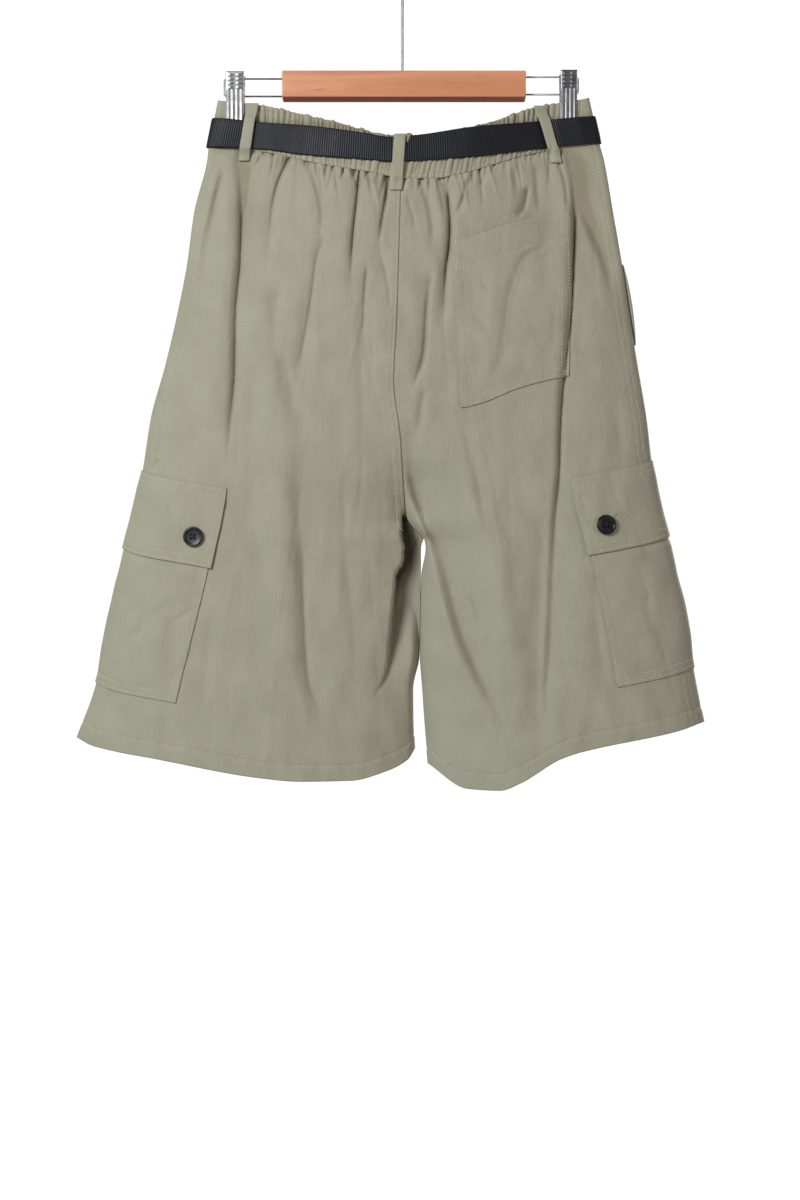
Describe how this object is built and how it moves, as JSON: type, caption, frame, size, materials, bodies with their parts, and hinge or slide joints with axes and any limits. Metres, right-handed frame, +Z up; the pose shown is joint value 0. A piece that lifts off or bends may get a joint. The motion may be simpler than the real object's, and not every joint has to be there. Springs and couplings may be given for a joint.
{
  "type": "cargo shorts on a clip hanger",
  "caption": "Wide knee-length cargo shorts with an elastic back waist and webbing belt, hung by the waistband from a wooden clip hanger.",
  "frame": {"origin": "the inside top of the hanger's hook, where a rail carries it", "axes": "+X to the wearer's right, +Y from the back of the shorts to their front, +Z up"},
  "size_m": [0.6271, 0.0841, 0.8519],
  "materials": {
    "sage_cloth": "crisp plain-weave cloth with a slight sheen",
    "black_webbing": "satin ribbed webbing",
    "dark_button": "glossy",
    "cherry_wood": "satin lacquer",
    "bright_nickel": "bright plated steel"
  },
  "bodies": {
    "root": {"back_left": "sage_cloth", "back_right": "sage_cloth", "front_left": "sage_cloth", "front_right": "sage_cloth", "waistband_back": "sage_cloth", "waistband_front": "sage_cloth", "rear_pocket": "sage_cloth", "cargo_pocket_left": "sage_cloth", "cargo_pocket_right": "sage_cloth", "cargo_flap_left": "sage_cloth", "cargo_flap_right": "sage_cloth", "slash_pocket_left": "sage_cloth", "slash_pocket_right": "sage_cloth", "loop_back_left": "sage_cloth", "loop_back_centre": "sage_cloth", "loop_back_right": "sage_cloth", "loop_front_left": "sage_cloth", "loop_front_right": "sage_cloth", "button_left_back": "dark_button", "button_left_front": "dark_button", "button_right_back": "dark_button", "button_right_front": "dark_button", "belt": "black_webbing", "belt_buckle": "bright_nickel", "hanger_hook": "bright_nickel", "hanger_wire_left": "bright_nickel", "hanger_wire_right": "bright_nickel", "clip_left_jaw_back": "bright_nickel", "clip_left_jaw_front": "bright_nickel", "clip_left_core": "bright_nickel", "clip_right_jaw_back": "bright_nickel", "clip_right_jaw_front": "bright_nickel", "clip_right_core": "bright_nickel", "hanger_bar": "cherry_wood"}
  },
  "joints": []
}
